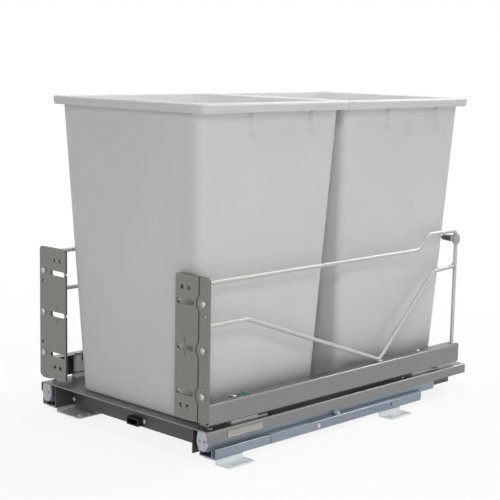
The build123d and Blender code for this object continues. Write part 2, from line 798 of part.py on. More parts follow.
def build_side_rails():
    both_sides("side_rail", side_rail())
    both_sides("front_clamp_block", clamp_block(block_front_y, front_screw_y, True))
    nodes["rear_clamp_blocks"] = pair_group(clamp_block(block_rear_y, rear_screw_y, False) - spare_slot())
    screw = pan_screw(rail_screw, rail_screw_head, rail_screw_head_height, rail_screw_length)
    screws = [Pos(block_x, y, side_rail_top) * screw for y in (front_screw_y, rear_screw_y)]
    nodes["rail_screws"] = pair_group(*screws)
    both_sides("lock_button", lock_button())


# Door plates, backing plates and their screws
def plate_slot_holes(margin):
    holes = [Pos(slot_x, plate_mid + i * plate_slot_pitch)
             * SlotOverall(plate_slot_length + 2 * margin, plate_slot_width + 2 * margin)
             for i in (-1, 0, 1)]
    pairs = [Pos(slot_x + i * plate_pair_pitch / 2, plate_mid + j * pair_z)
             * Circle(plate_pair_diameter / 2 + margin) for i in (-1, 1) for j in (-1, 1)]
    return holes + pairs


def strip_screw_zs():
    return [plate_mid + i * plate_screw_pitch for i in (-1, 0, 1)]


def door_plate():
    outline = Pos(half_deck - plate_width / 2, plate_mid) * RectangleRounded(
        plate_width, plate_height, plate_corner)
    strip = Pos(half_deck - plate_strip / 2, plate_mid) * Rectangle(plate_strip, plate_height)
    wall = Pos(half_deck - (plate_strip + plate_sheet) / 2, plate_mid) * Rectangle(
        plate_strip + plate_sheet, plate_height)
    for z in strip_screw_zs():
        strip += Pos(strip_x, z) * Circle(plate_screw_bulge)
        wall += Pos(strip_x, z) * Circle(plate_screw_bulge + plate_sheet)
    panel = outline - strip
    strip = outline & strip
    wall = (outline & wall) - strip
    front = -plate_sheet - plate_joggle
    plate = front_face(strip, -plate_sheet, 0)
    plate += front_face(wall, front, 0)
    plate += front_face(panel, front, front + plate_sheet)
    for hole in plate_slot_holes(0):
        plate -= front_face(hole, front - past, past)
    tick_z = plate_slot_width / 2 + tick_gap + tick_length / 2
    for i in (-1, 1):
        tick = Pos(slot_x, plate_mid + i * tick_z) * Rectangle(tick_width, tick_length)
        plate -= front_face(tick, front - past, front + tick_depth)
    for z in strip_screw_zs():
        plate -= cylinder_y(plate_screw / 2 + hole_clearance, strip_x, front - past, past, z)
    for i in (-1, 1):
        plate -= cylinder_y(strip_hole / 2, strip_hole_x, front - past, past,
                            plate_mid + i * strip_hole_pitch)
    return plate


def backing_plate():
    width = plate_width - backing_inset
    outline = Pos(half_deck - width / 2, plate_mid) * RectangleRounded(width, plate_height, plate_corner)
    plate = front_face(outline, 0, backing_sheet)
    for hole in plate_slot_holes(backing_hole_margin):
        plate -= front_face(hole, -past, backing_sheet + past)
    for z in strip_screw_zs():
        plate -= cylinder_y(plate_screw / 2 + hole_clearance, strip_x, -past, backing_sheet + past, z)
    for i in (-1, 1):
        plate -= cylinder_y(strip_hole / 2, strip_hole_x, -past, backing_sheet + past,
                            plate_mid + i * strip_hole_pitch)
    return plate


def build_door_plates():
    both_sides("door_plate", door_plate())
    both_sides("backing_plate", backing_plate())
    screw = pan_screw(plate_screw, plate_screw_head, plate_screw_head_height, plate_screw_length)
    screws = [Pos(strip_x, -plate_sheet, z) * Rot(90, 0, 0) * screw for z in strip_screw_zs()]
    nodes["plate_screws"] = pair_group(*screws)


# Wire gallery with its knuckles and the rear cross rod
def wire_points(*points):
    return [(wire_x, y, z) for y, z in points]


def round_wire(points, radii, radius):
    path = FilletPolyline(*points, radius=radii)
    return sweep(Plane(origin=path @ 0, z_dir=path % 0) * Circle(radius), path=path)


def top_wire(radius):
    high = top_wire_z + top_wire_step
    points = wire_points((backing_sheet, top_wire_z), (top_wire_step_y, top_wire_z),
                         (top_wire_step_y + top_wire_step_run, high), (post_y, high),
                         (post_y, side_rail_top))
    return round_wire(points, [top_wire_bend, top_wire_bend, post_bend], radius)


def low_wire_route(v_z):
    start_z = deck_top + low_wire_rise
    bend_z = deck_top + low_wire_end_rise
    return wire_points((backing_sheet, start_z), (low_wire_bend_y, start_z), (low_wire_v_y, v_z),
                       (low_wire_end_bend_y, bend_z), (post_y, bend_z + low_wire_end_lift))


def lower_wire(post):
    # The V is lowered until its underside lies on the side rail.
    radii = [low_wire_bend, low_wire_v_bend, low_wire_bend]
    seat = side_rail_top + wire_radius + weld_gap
    trial = FilletPolyline(*low_wire_route(seat), radius=radii)
    v_z = 2 * seat - trial.bounding_box().min.Z
    return round_wire(low_wire_route(v_z), radii, wire_radius) - post


def rod_knuckle():
    ball = Pos(wire_x, post_y, knuckle_z) * scale(
        Sphere(0.5), (knuckle_width, knuckle_width, knuckle_height))
    cone = Pos(wire_x - knuckle_cone_length / 2, post_y, knuckle_z) * Rot(0, -90, 0) * Cone(
        knuckle_cone_big / 2, knuckle_cone_small / 2, knuckle_cone_length)
    knuckle = ball + cone - top_wire(wire_radius + knuckle_gap)
    socket = cylinder_x(rod_diameter / 2 + knuckle_gap, wire_x - knuckle_cone_length - past, rod_end(),
                        post_y, knuckle_z)
    return knuckle - socket


def rod_end():
    return wire_x - wire_radius - rod_socket_wall


def build_gallery():
    both_sides("top_wire", top_wire(wire_radius))
    both_sides("lower_wire", lower_wire(top_wire(wire_radius + weld_gap)))
    both_sides("rod_knuckle", rod_knuckle())
    nodes["rear_cross_rod"] = cylinder_x(rod_diameter / 2, -rod_end(), rod_end(), post_y, knuckle_z)


# The two bins
def tapered_block(shrink, z0, z1):
    # The bin's body between two heights, drawn in by shrink on every side.
    sections = []
    for z in (z0, z1):
        share = z / bin_body_height
        width = bin_base_width + 2 * share * bin_taper_side - 2 * shrink
        depth = bin_base_depth + 2 * share * bin_taper_end - 2 * shrink
        sections.append(Pos(0, 0, z) * RectangleRounded(width, depth, bin_corner - shrink))
    return loft(sections, ruled=True)


def bevelled_foot(shrink, z0, z1):
    low = Pos(0, 0, z0) * RectangleRounded(
        bin_base_width - 2 * bin_foot_bevel - 2 * shrink,
        bin_base_depth - 2 * bin_foot_bevel - 2 * shrink, bin_corner - shrink)
    share = z1 / bin_body_height
    high = Pos(0, 0, z1) * RectangleRounded(
        bin_base_width + 2 * share * bin_taper_side - 2 * shrink,
        bin_base_depth + 2 * share * bin_taper_end - 2 * shrink, bin_corner - shrink)
    return loft([low, high], ruled=True)


def gusset(y, side):
    # A thin upright web under the rim, with a blunt foot.
    z_top = bin_body_height + bin_rim_height - bin_wall
    z_foot = bin_body_height - rib_height
    x_edge = bin_rim_width / 2 - bin_overhang_side + rib_reach
    x_wall = bin_rim_width / 2 - bin_overhang_side - bin_wall / 2
    x_foot = x_wall - bin_taper_side * (rib_height + bin_rim_height) / bin_body_height
    web = Polyline((x_foot, z_foot), (x_edge, z_foot), (x_edge, z_top), (x_wall, z_top), close=True)
    plate = front_face(make_face(web), y - rib_thickness / 2, y + rib_thickness / 2)
    return plate if side > 0 else mirrored(plate)


def bin_shell():
    body = tapered_block(0, bin_foot_bevel, bin_body_height) + bevelled_foot(0, 0, bin_foot_bevel)
    rim = extrude(Pos(0, 0, bin_body_height) * RectangleRounded(
        bin_rim_width, bin_rim_depth, bin_rim_radius), bin_rim_height)
    rim = fillet(rim.faces().sort_by(Axis.Z)[-1].edges(), bin_rim_edge)
    hollow = extrude(Pos(0, 0, bin_body_height) * RectangleRounded(
        bin_rim_width - 2 * bin_wall, bin_rim_depth - 2 * bin_wall, bin_rim_radius - bin_wall),
        bin_rim_height - bin_wall)
    neck = tapered_block(0, bin_body_height - past, bin_height)
    shell = body + neck + (rim - hollow)
    for side in (-1, 1):
        for y in rib_positions:
            shell += gusset(y, side)
    cavity = tapered_block(bin_wall, bin_foot_bevel, bin_height + past)
    cavity += bevelled_foot(bin_wall, bin_wall, bin_foot_bevel)
    return shell - cavity


def build_bins():
    shell = bin_shell()
    nodes["front_bin"] = Pos(bin_offset_x, rear_bin_y - bin_pitch, deck_top) * shell
    nodes["rear_bin"] = Pos(bin_offset_x, rear_bin_y, deck_top) * shell


build_cabinet_side()
build_running_gear()
build_soft_close()
build_carriage_frame()
build_side_rails()
build_door_plates()
build_gallery()
build_bins()

# The finished part stands with its origin under the middle of its own box.
whole = Compound(children=[solid for part in nodes.values() for solid in part.solids()]).bounding_box()
datum = Pos(-(whole.min.X + whole.max.X) / 2, -(whole.min.Y + whole.max.Y) / 2, 0)

os.makedirs("parts", exist_ok=True)
for name, part in nodes.items():
    placed = [datum * solid for solid in part.solids()]
    export_step(placed[0] if len(placed) == 1 else Compound(children=placed), f"parts/{name}.step")
print(len(nodes), "nodes, box", whole.min, whole.max)
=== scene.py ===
import math

import bmesh
import bpy
from mathutils import Matrix, Vector


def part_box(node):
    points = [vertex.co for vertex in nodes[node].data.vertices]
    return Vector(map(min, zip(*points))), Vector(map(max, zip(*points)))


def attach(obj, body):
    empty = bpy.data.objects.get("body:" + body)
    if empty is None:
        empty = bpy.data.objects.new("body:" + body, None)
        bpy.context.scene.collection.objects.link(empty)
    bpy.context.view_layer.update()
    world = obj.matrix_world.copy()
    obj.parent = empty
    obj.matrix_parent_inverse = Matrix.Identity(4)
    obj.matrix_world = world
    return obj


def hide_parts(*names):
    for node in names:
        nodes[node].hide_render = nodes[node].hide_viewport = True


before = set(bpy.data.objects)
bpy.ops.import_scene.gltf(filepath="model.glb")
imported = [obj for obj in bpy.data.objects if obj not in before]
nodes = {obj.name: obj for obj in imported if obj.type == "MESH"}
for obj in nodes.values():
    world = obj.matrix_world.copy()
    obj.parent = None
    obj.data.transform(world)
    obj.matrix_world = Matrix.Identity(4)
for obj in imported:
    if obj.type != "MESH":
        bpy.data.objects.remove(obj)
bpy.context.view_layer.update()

# the deck's front edge and middle line are where every seat is counted from
deckLow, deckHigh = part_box("deck")
midX = (deckLow.x + deckHigh.x) / 2
frontY = deckLow.y
quarterTurn = math.pi / 2


def seat(x, y, z):
    return (midX + x, frontY + y, z)


def addObject(name, data):
    made = bpy.data.objects.new(name, data)
    bpy.context.scene.collection.objects.link(made)
    return made


# an input takes either a plain value or the output that it is linked from
def feed(tree, socket, value):
    if isinstance(value, bpy.types.NodeSocket):
        tree.links.new(value, socket)
    elif socket.type == "RGBA":
        socket.default_value = (*value, 1.0)
    else:
        socket.default_value = value


def addNode(tree, kind, values=None, **settings):
    node = tree.nodes.new(kind)
    for key, value in settings.items():
        setattr(node, key, value)
    for key, value in (values or {}).items():
        feed(tree, node.inputs[key], value)
    return node


def mathNode(tree, operation, *values, clamp=False):
    return addNode(tree, "ShaderNodeMath", dict(enumerate(values)), operation=operation,
                   use_clamp=clamp).outputs[0]


def vectorNode(tree, *parts):
    return addNode(tree, "ShaderNodeCombineXYZ", dict(enumerate(parts))).outputs[0]


def splitNode(tree, vector):
    return addNode(tree, "ShaderNodeSeparateXYZ", {0: vector}).outputs


# maps low..high to first..last
def stretch(tree, value, low, high, first=0.0, last=1.0):
    return addNode(tree, "ShaderNodeMapRange", {0: value, 1: low, 2: high, 3: first, 4: last}).outputs[0]


def addSocket(tree, direction, label, kind, value=None):
    socket = tree.interface.new_socket(name=label, in_out=direction, socket_type="NodeSocket" + kind)
    if value is not None:
        socket.default_value = value


# shader groups shared by the finishes
def newGroup(name, values, results):
    group = bpy.data.node_groups.new(name, "ShaderNodeTree")
    addSocket(group, "INPUT", "Vector", "Vector")
    for label, value in values.items():
        addSocket(group, "INPUT", label, "Float", value)
    for label in results:
        addSocket(group, "OUTPUT", label, "Float")
    source = group.nodes.new("NodeGroupInput").outputs
    return group, source, group.nodes.new("NodeGroupOutput").inputs


# a noise as it comes, and drawn out between the form's low and high
def noisePair(group, source, label, form):
    noise = addNode(group, "ShaderNodeTexNoise",
                    {"Vector": source["Vector"], "Scale": source[label], "Detail": form["detail"],
                     "Roughness": form["rough"], "Distortion": form["distortion"]}).outputs["Fac"]
    return noise, stretch(group, noise, form["low"], form["high"])


def noiseForm(scale, detail, rough, low, high, distortion=0.0):
    return {"scale": scale, "detail": detail, "rough": rough, "low": low, "high": high,
            "distortion": distortion}


# a fine noise for tone and height, and a slow one for clouds
def makeGrain(name, label, fine, slow):
    group, source, result = newGroup(name, {label: fine["scale"], "Cloud Scale": slow["scale"]},
                                     ("Tone", "Cloud", "Height"))
    height, tone = noisePair(group, source, label, fine)
    cloud = noisePair(group, source, "Cloud Scale", slow)[1]
    for key, value in (("Tone", tone), ("Cloud", cloud), ("Height", height)):
        feed(group, result[key], value)
    return group


def makeZincSpangle(form):
    group, source, result = newGroup("zincSpangle", {"Fleck Scale": form["scale"]}, ("Fleck", "Height"))
    cells = addNode(group, "ShaderNodeTexVoronoi",
                    {"Vector": source["Vector"], "Scale": source["Fleck Scale"], "Randomness": 1.0})
    split = addNode(group, "ShaderNodeSeparateColor", {0: cells.outputs["Color"]})
    height, haze = noisePair(group, source, "Fleck Scale", form)
    feed(group, result["Fleck"], mathNode(group, "MULTIPLY", split.outputs[0], haze))
    feed(group, result["Height"], height)
    return group


def makeHandlingMarks(form):
    group, source, result = newGroup("handlingMarks", {"Patch Scale": form["scale"], "Amount": 0.3},
                                     ("Mask",))
    patches = noisePair(group, source, "Patch Scale", form)[1]
    feed(group, result["Mask"], mathNode(group, "MULTIPLY", patches, source["Amount"]))
    return group


brushLines = makeGrain("brushLines", "Line Scale", noiseForm(900.0, 5.0, 0.62, 0.28, 0.72),
                       noiseForm(14.0, 3.0, 0.55, 0.3, 0.7))
zincSpangle = makeZincSpangle(noiseForm(260.0, 4.0, 0.6, 0.25, 0.7))
mouldGrain = makeGrain("mouldGrain", "Grain Scale", noiseForm(1400.0, 2.0, 0.5, 0.3, 0.7),
                       noiseForm(7.0, 4.0, 0.5, 0.32, 0.68))
handlingMarks = makeHandlingMarks(noiseForm(22.0, 6.0, 0.68, 0.5, 0.66, 0.6))

# for each kind of surface: its group, which output mixes dark and light, which one spreads the
# roughness and from what to what, and the depth of its bumps
surfaces = {
    "brushed": {"group": brushLines, "tone": "Tone", "spread": "Cloud", "span": ("smooth", "rough"),
                "depth": 0.0002},
    "zinc": {"group": zincSpangle, "tone": "Fleck", "spread": "Fleck", "span": ("rough", "smooth"),
             "depth": 0.0002},
    "moulded": {"group": mouldGrain, "tone": "Cloud", "spread": "Tone", "span": ("smooth", "rough"),
                "depth": 0.0003},
}


def placeGroup(tree, group, vector, values):
    return addNode(tree, "ShaderNodeGroup", {"Vector": vector, **values}, node_tree=group).outputs


# inputs 6 and 7 and output 2 are this node's colours
def mixTones(tree, factor, first, second):
    return addNode(tree, "ShaderNodeMix", {0: factor, 6: first, 7: second}, data_type="RGBA").outputs[2]


def makeFinish(name, look):
    surface = surfaces[look["surface"]]
    material = bpy.data.materials.new(name)
    material.use_nodes = True
    tree = material.node_tree
    shader = tree.nodes["Principled BSDF"].inputs
    coords = tree.nodes.new("ShaderNodeTexCoord").outputs["Object"]
    drawn = coords
    if "along" in look:
        # the lines run along the rolling direction
        drawn = addNode(tree, "ShaderNodeMapping", {"Vector": coords, "Scale": look["along"]}).outputs[0]
    grain = placeGroup(tree, surface["group"], drawn, look["scales"])
    marks = placeGroup(tree, handlingMarks, coords,
                       {"Patch Scale": look["markScale"], "Amount": look["marks"]})["Mask"]
    tone = mixTones(tree, grain[surface["tone"]], look["dark"], look["light"])
    tone = mixTones(tree, marks, tone, look["marked"])
    if "inside" in look:
        # a bin's inner wall, marked on its mesh, is painted paler than its outer wall: painted light,
        # standing in for the light that falls into the open bin
        inner = addNode(tree, "ShaderNodeAttribute", attribute_name="inner").outputs["Fac"]
        tone = mixTones(tree, inner, tone, look["inside"])
    if "coneTone" in look:
        # the cones of the rod knuckles lie nearer the middle and are moulded darker
        across = mathNode(tree, "ABSOLUTE", mathNode(tree, "SUBTRACT", splitNode(tree, coords)[0], midX))
        cone = mathNode(tree, "LESS_THAN", across, look["coneInside"])
        tone = mixTones(tree, cone, tone, look["coneTone"])
    first, last = (look[key] for key in surface["span"])
    rough = stretch(tree, grain[surface["spread"]], 0.0, 1.0, first, last)
    bump = addNode(tree, "ShaderNodeBump", {"Strength": look["bump"], "Distance": surface["depth"],
                                            "Height": grain["Height"]})
    feed(tree, shader["Base Color"], tone)
    feed(tree, shader["Metallic"], look["metal"])
    feed(tree, shader["Roughness"], mathNode(tree, "ADD", rough, marks, clamp=True))
    feed(tree, shader["Normal"], bump.outputs["Normal"])
    return material


# sheet and wire: fine lines, soft clouds, finger marks
nickelLook = {"surface": "brushed", "dark": (0.235, 0.234, 0.23), "light": (0.255, 0.254, 0.25),
              "marked": (0.27, 0.269, 0.264), "along": (1.0, 0.03, 1.0),
              "scales": {"Line Scale": 1100.0, "Cloud Scale": 14.0}, "markScale": 24.0, "marks": 0.1,
              "smooth": 0.3, "rough": 0.36, "metal": 0.92, "bump": 0.012}
# zinc plating: small bright flecks over a bluish ground
zincLook = {"surface": "zinc", "dark": (0.28, 0.325, 0.385), "light": (0.31, 0.355, 0.415),
            "marked": (0.3, 0.34, 0.39), "scales": {"Fleck Scale": 420.0}, "markScale": 30.0,
            "marks": 0.1, "smooth": 0.26, "rough": 0.42, "metal": 0.55, "bump": 0.05}
screwLook = dict(zincLook, dark=(0.5, 0.505, 0.51), light=(0.72, 0.725, 0.73), marked=(0.5, 0.5, 0.5),
                 scales={"Fleck Scale": 1600.0}, smooth=0.18, rough=0.34)
# moulded plastic: spark-eroded grain, slow cloudiness, rubbed patches
# the gusset's tone is the bin plastic painted paler: painted light, offsetting the shade the gussets
# stand in under the rim
gussetLook = {"surface": "moulded", "dark": (0.76, 0.76, 0.76), "light": (0.8, 0.8, 0.8),
              "marked": (0.74, 0.74, 0.74), "scales": {"Grain Scale": 900.0, "Cloud Scale": 6.0},
              "markScale": 9.0, "marks": 0.08, "smooth": 0.42, "rough": 0.54, "metal": 0.0, "bump": 0.1}
capLook = dict(gussetLook, dark=(0.63, 0.65, 0.7), light=(0.69, 0.71, 0.76), marked=(0.65, 0.67, 0.72),
               scales={"Grain Scale": 1500.0, "Cloud Scale": 40.0}, smooth=0.36, rough=0.48)
looks = {
    "sheetNickel": nickelLook,
    "plateNickel": dict(nickelLook, dark=(0.2, 0.202, 0.183), light=(0.22, 0.222, 0.202),
                        along=(1.0, 1.0, 0.03)),
    "wireNickel": dict(nickelLook, dark=(0.52, 0.515, 0.5), light=(0.57, 0.565, 0.55),
                       marked=(0.56, 0.55, 0.53), along=(1.0, 0.02, 1.0),
                       scales={"Line Scale": 700.0, "Cloud Scale": 14.0}, marks=0.0,
                       smooth=0.4, rough=0.44, metal=0.5, bump=0.0),
    # the side channels and crossbars are the sheet nickel painted far darker: painted shade, as they sit
    # in the shade under the deck and rails
    "frameNickelPaintedShade": dict(nickelLook, dark=(0.1, 0.097, 0.089), light=(0.118, 0.115, 0.107),
                      marked=(0.13, 0.127, 0.118), along=(0.05, 1.0, 1.0),
                      smooth=0.38, rough=0.5, metal=0.6),
    "badgeBare": dict(nickelLook, dark=(0.35, 0.34, 0.305), light=(0.42, 0.41, 0.375),
                      marked=(0.44, 0.43, 0.4), scales={"Line Scale": 1600.0, "Cloud Scale": 14.0},
                      smooth=0.26, rough=0.36),
    "railZinc": zincLook,
    # the feet are the rails' zinc painted far paler: painted light, standing in for the light and
    # highlight on their up-facing plates
    "footZincPaintedLit": dict(zincLook, dark=(0.78, 0.81, 0.825), light=(0.86, 0.89, 0.9),
                     marked=(0.7, 0.73, 0.74), metal=0.3),
    "rivetZinc": dict(zincLook, dark=(0.62, 0.63, 0.65), light=(0.8, 0.81, 0.82),
                      marked=(0.6, 0.61, 0.62), scales={"Fleck Scale": 1200.0}, smooth=0.22, rough=0.36),
    "screwZinc": screwLook,
    "bearingSteel": dict(screwLook, dark=(0.55, 0.555, 0.565), light=(0.68, 0.685, 0.69),
                         smooth=0.08, rough=0.16, bump=0.02),
    # the bin's inside tone is painted light: its inner walls are painted paler than the outer ones, for
    # the light falling into the open bin
    "binPlastic": dict(gussetLook, dark=(0.725, 0.725, 0.725), light=(0.76, 0.76, 0.759),
                       marked=(0.7, 0.7, 0.698), inside=(0.95, 0.95, 0.948)),
    "gussetPaintedLitPlastic": gussetLook,
    "capPlastic": capLook,
    "spacerPlastic": dict(capLook, dark=(0.62, 0.63, 0.64), light=(0.7, 0.71, 0.72),
                          marked=(0.6, 0.6, 0.6)),
    "knucklePlastic": dict(capLook, dark=(0.44, 0.44, 0.43), light=(0.5, 0.5, 0.49),
                           marked=(0.46, 0.46, 0.45), smooth=0.26, rough=0.36,
                           coneInside=0.1602, coneTone=(0.1, 0.1, 0.095)),
    "lockGreen": dict(capLook, dark=(0.03, 0.37, 0.14), light=(0.06, 0.45, 0.19),
                      marked=(0.1, 0.48, 0.24)),
    "cagePlastic": dict(capLook, dark=(0.035, 0.036, 0.04), light=(0.055, 0.056, 0.06),
                        marked=(0.08, 0.08, 0.085)),
    "catchPlastic": dict(capLook, dark=(0.58, 0.6, 0.63), light=(0.66, 0.68, 0.7),
                         marked=(0.6, 0.6, 0.62)),
    "tubeBlack": dict(capLook, dark=(0.012, 0.012, 0.012), light=(0.022, 0.022, 0.022),
                      marked=(0.04, 0.04, 0.04), smooth=0.34, rough=0.48),
}
finishes = {name: makeFinish(name, look) for name, look in looks.items()}
print("finishes:", len(finishes))

# the nodes of each finish, by the start of their names; the first that fits counts
nodeFinish = {
    "screwZinc": ("deck_screws", "crossbar_screws", "rail_screws", "plate_screws"),
    "railZinc": ("cabinet_rail", "rail_sleeve", "damper_cylinder", "intermediate_rail", "drawer_rail"),
    "footZincPaintedLit": ("foot_",),
    "rivetZinc": ("rail_rivets",),
    "bearingSteel": ("damper_rod", "lower_balls", "upper_balls"),
    "catchPlastic": ("damper_catch",),
    "cagePlastic": ("lower_cage", "upper_cage"),
    "capPlastic": ("end_cap",),
    "sheetNickel": ("deck", "side_rail"),
    "frameNickelPaintedShade": ("side_channel", "front_crossbar", "rear_crossbar"),
    "tubeBlack": ("centre_beam",),
    "badgeBare": ("badge_plate",),
    "spacerPlastic": ("front_clamp_block", "rear_clamp_blocks"),
    "plateNickel": ("door_plate", "backing_plate"),
    "wireNickel": ("top_wire", "lower_wire", "rear_cross_rod"),
    "knucklePlastic": ("rod_knuckle",),
    "lockGreen": ("lock_button",),
    "binPlastic": ("front_bin", "rear_bin"),
}
# sheet edges are broken slightly, so that they catch the light
brokenEdge = {"width": 0.0004, "segments": 2, "angle": 32.0, "weld": 0.000001,
              "starts": ("door_plate", "foot_", "cabinet_rail", "rail_sleeve", "side_rail", "deck",
                         "side_channel", "front_crossbar", "drawer_rail")}


def breakEdges(node):
    weld = node.modifiers.new("weld", "WELD")
    weld.merge_threshold = brokenEdge["weld"]
    bevel = node.modifiers.new("edge", "BEVEL")
    bevel.width = brokenEdge["width"]
    bevel.segments = brokenEdge["segments"]
    bevel.limit_method = "ANGLE"
    bevel.angle_limit = math.radians(brokenEdge["angle"])
    bevel.harden_normals = True


for name, node in nodes.items():
    finishName = next(key for key, starts in nodeFinish.items() if name.startswith(starts))
    node.data.materials.clear()
    node.data.materials.append(finishes[finishName])
    if name.startswith(brokenEdge["starts"]) and name != "deck_screws":
        breakEdges(node)
print("finishes given to", len(nodes), "nodes")

# pieces are grown by geometry nodes; an input's kind follows from its value
socketKinds = {float: "Float", int: "Int", bool: "Bool"}
meshSteps = {"head": 40, "rings": 24, "shank": 20, "drop": 4}
domeSwell = {"screw": 1.14, "rivet": 1.08}  # the ball that cuts a dome, against the head's width
spinSeeds = {"screw": 7, "rivet": 3, "weld": 11}
largestSpin = 3.1416


def newTree(name, values):
    tree = bpy.data.node_groups.new(name, "GeometryNodeTree")
    tree.is_modifier = True
    addSocket(tree, "INPUT", "Geometry", "Geometry")
    for label, value in values.items():
        addSocket(tree, "INPUT", label, socketKinds[type(value)], value)
    addSocket(tree, "INPUT", "Finish", "Material")
    addSocket(tree, "OUTPUT", "Geometry", "Geometry")
    source = tree.nodes.new("NodeGroupInput").outputs
    return tree, source, tree.nodes.new("NodeGroupOutput").inputs[0]


def attribute(tree, name, kind="FLOAT"):
    return addNode(tree, "GeometryNodeInputNamedAttribute", {"Name": name}, data_type=kind).outputs[0]


def moved(tree, geometry, changes):
    return addNode(tree, "GeometryNodeTransform", {"Geometry": geometry, **changes}).outputs[0]


def reshaped(tree, geometry, label, value):
    return addNode(tree, "GeometryNodeSetPosition", {"Geometry": geometry, label: value}).outputs[0]


# a cut takes the second mesh from the first; the other operations treat both alike
def boolean(tree, operation, first, second):
    node = addNode(tree, "GeometryNodeMeshBoolean", operation=operation, solver="EXACT")
    tree.links.new(first, node.inputs["Mesh 1" if operation == "DIFFERENCE" else "Mesh 2"])
    tree.links.new(second, node.inputs["Mesh 2"])
    return node.outputs[0]


def cylinder(tree, sides, radius, depth):
    return addNode(tree, "GeometryNodeMeshCylinder",
                   {"Vertices": sides, "Radius": radius, "Depth": depth}).outputs["Mesh"]


def box(tree, *size):
    return addNode(tree, "GeometryNodeMeshCube", {"Size": vectorNode(tree, *size)}).outputs["Mesh"]


# a low dome cut from a cylinder by a flattened ball
def domedHead(tree, diameter, height, swell):
    radius = mathNode(tree, "MULTIPLY", diameter, 0.5)
    lift = vectorNode(tree, 0.0, 0.0, mathNode(tree, "MULTIPLY", height, 0.5))
    barrel = moved(tree, cylinder(tree, meshSteps["head"], radius, height), {"Translation": lift})
    ball = addNode(tree, "GeometryNodeMeshUVSphere",
                   {"Segments": meshSteps["head"], "Rings": meshSteps["rings"], "Radius": 1.0})
    wide = mathNode(tree, "MULTIPLY", radius, swell)
    flat = moved(tree, ball.outputs["Mesh"], {"Scale": vectorNode(tree, wide, wide, height)})
    return boolean(tree, "INTERSECT", barrel, flat)


# copies of a shape on the seat points, made real
def standCopies(tree, seats, shape, rotation):
    copies = addNode(tree, "GeometryNodeInstanceOnPoints",
                     {"Points": seats, "Instance": shape, "Rotation": rotation}).outputs[0]
    return addNode(tree, "GeometryNodeRealizeInstances", {0: copies}).outputs[0]


# copies stand along each point's facing, each turned by its own amount
def standOnSeats(tree, seats, shape, seed):
    facing = attribute(tree, "facing", "FLOAT_VECTOR")
    align = addNode(tree, "FunctionNodeAlignRotationToVector", {"Vector": facing}, axis="Z")
    spin = addNode(tree, "FunctionNodeRandomValue", {3: largestSpin, "Seed": seed}, data_type="FLOAT")
    turn = addNode(tree, "FunctionNodeEulerToRotation", {0: vectorNode(tree, 0.0, 0.0, spin.outputs[1])})
    rotate = addNode(tree, "FunctionNodeRotateRotation", {0: align.outputs[0], 1: turn.outputs[0]},
                     rotation_space="LOCAL")
    return standCopies(tree, seats, shape, rotate.outputs[0])


def paint(tree, geometry, finish, output):
    node = addNode(tree, "GeometryNodeSetMaterial", {"Geometry": geometry, "Material": finish})
    tree.links.new(node.outputs[0], output)


def makePanScrew():
    tree, source, output = newTree("panScrew", {
        "Head Diameter": 0.0084, "Head Height": 0.0026, "Recess Length": 0.0046, "Recess Width": 0.001,
        "Recess Depth": 0.0011, "Shank Diameter": 0.004, "Shank Length": 0.0055, "Cross": True})
    head = domedHead(tree, source["Head Diameter"], source["Head Height"], domeSwell["screw"])
    top = vectorNode(tree, 0.0, 0.0, source["Head Height"])
    deep = mathNode(tree, "MULTIPLY", source["Recess Depth"], 2.0)
    bar = box(tree, source["Recess Length"], source["Recess Width"], deep)
    groove = moved(tree, bar, {"Translation": top})
    second = moved(tree, bar, {"Translation": top, "Rotation": (0.0, 0.0, quarterTurn)})
    cross = boolean(tree, "UNION", groove, second)
    recess = addNode(tree, "GeometryNodeSwitch", {0: source["Cross"], 1: groove, 2: cross},
                     input_type="GEOMETRY").outputs[0]
    head = boolean(tree, "DIFFERENCE", head, recess)
    down = vectorNode(tree, 0.0, 0.0, mathNode(tree, "MULTIPLY", source["Shank Length"], -0.5))
    radius = mathNode(tree, "MULTIPLY", source["Shank Diameter"], 0.5)
    shank = cylinder(tree, meshSteps["shank"], radius, source["Shank Length"])
    whole = tree.nodes.new("GeometryNodeJoinGeometry")
    tree.links.new(head, whole.inputs[0])
    tree.links.new(moved(tree, shank, {"Translation": down}), whole.inputs[0])
    screws = standOnSeats(tree, source["Geometry"], whole.outputs[0], spinSeeds["screw"])
    paint(tree, screws, source["Finish"], output)
    return tree


def makeDomeRivet():
    tree, source, output = newTree("domeRivet", {"Head Diameter": 0.0064, "Head Height": 0.001})
    head = domedHead(tree, source["Head Diameter"], source["Head Height"], domeSwell["rivet"])
    rivets = standOnSeats(tree, source["Geometry"], head, spinSeeds["rivet"])
    paint(tree, rivets, source["Finish"], output)
    return tree


# a weld: a flattened drop whose skin is rippled by where it lies
def makeWeldBead():
    tree, source, output = newTree("weldBead", {"Bead Width": 0.0104, "Bead Height": 0.0022,
                                                "Ripple": 0.0006, "Ripple Scale": 620.0})
    half = mathNode(tree, "MULTIPLY", source["Bead Width"], 0.5)
    drop = addNode(tree, "GeometryNodeMeshIcoSphere", {"Radius": 1.0, "Subdivisions": meshSteps["drop"]})
    size = vectorNode(tree, half, half, source["Bead Height"])
    flat = moved(tree, drop.outputs["Mesh"], {"Scale": size})
    beads = standOnSeats(tree, source["Geometry"], flat, spinSeeds["weld"])
    noise = addNode(tree, "ShaderNodeTexNoise", {"Scale": source["Ripple Scale"], "Detail": 1.0})
    wave = mathNode(tree, "SUBTRACT", noise.outputs["Fac"], 0.5)
    normal = tree.nodes.new("GeometryNodeInputNormal").outputs[0]
    lift = addNode(tree, "ShaderNodeVectorMath",
                   {0: normal, "Scale": mathNode(tree, "MULTIPLY", wave, source["Ripple"])},
                   operation="SCALE")
    paint(tree, reshaped(tree, beads, "Offset", lift.outputs[0]), source["Finish"], output)
    return tree


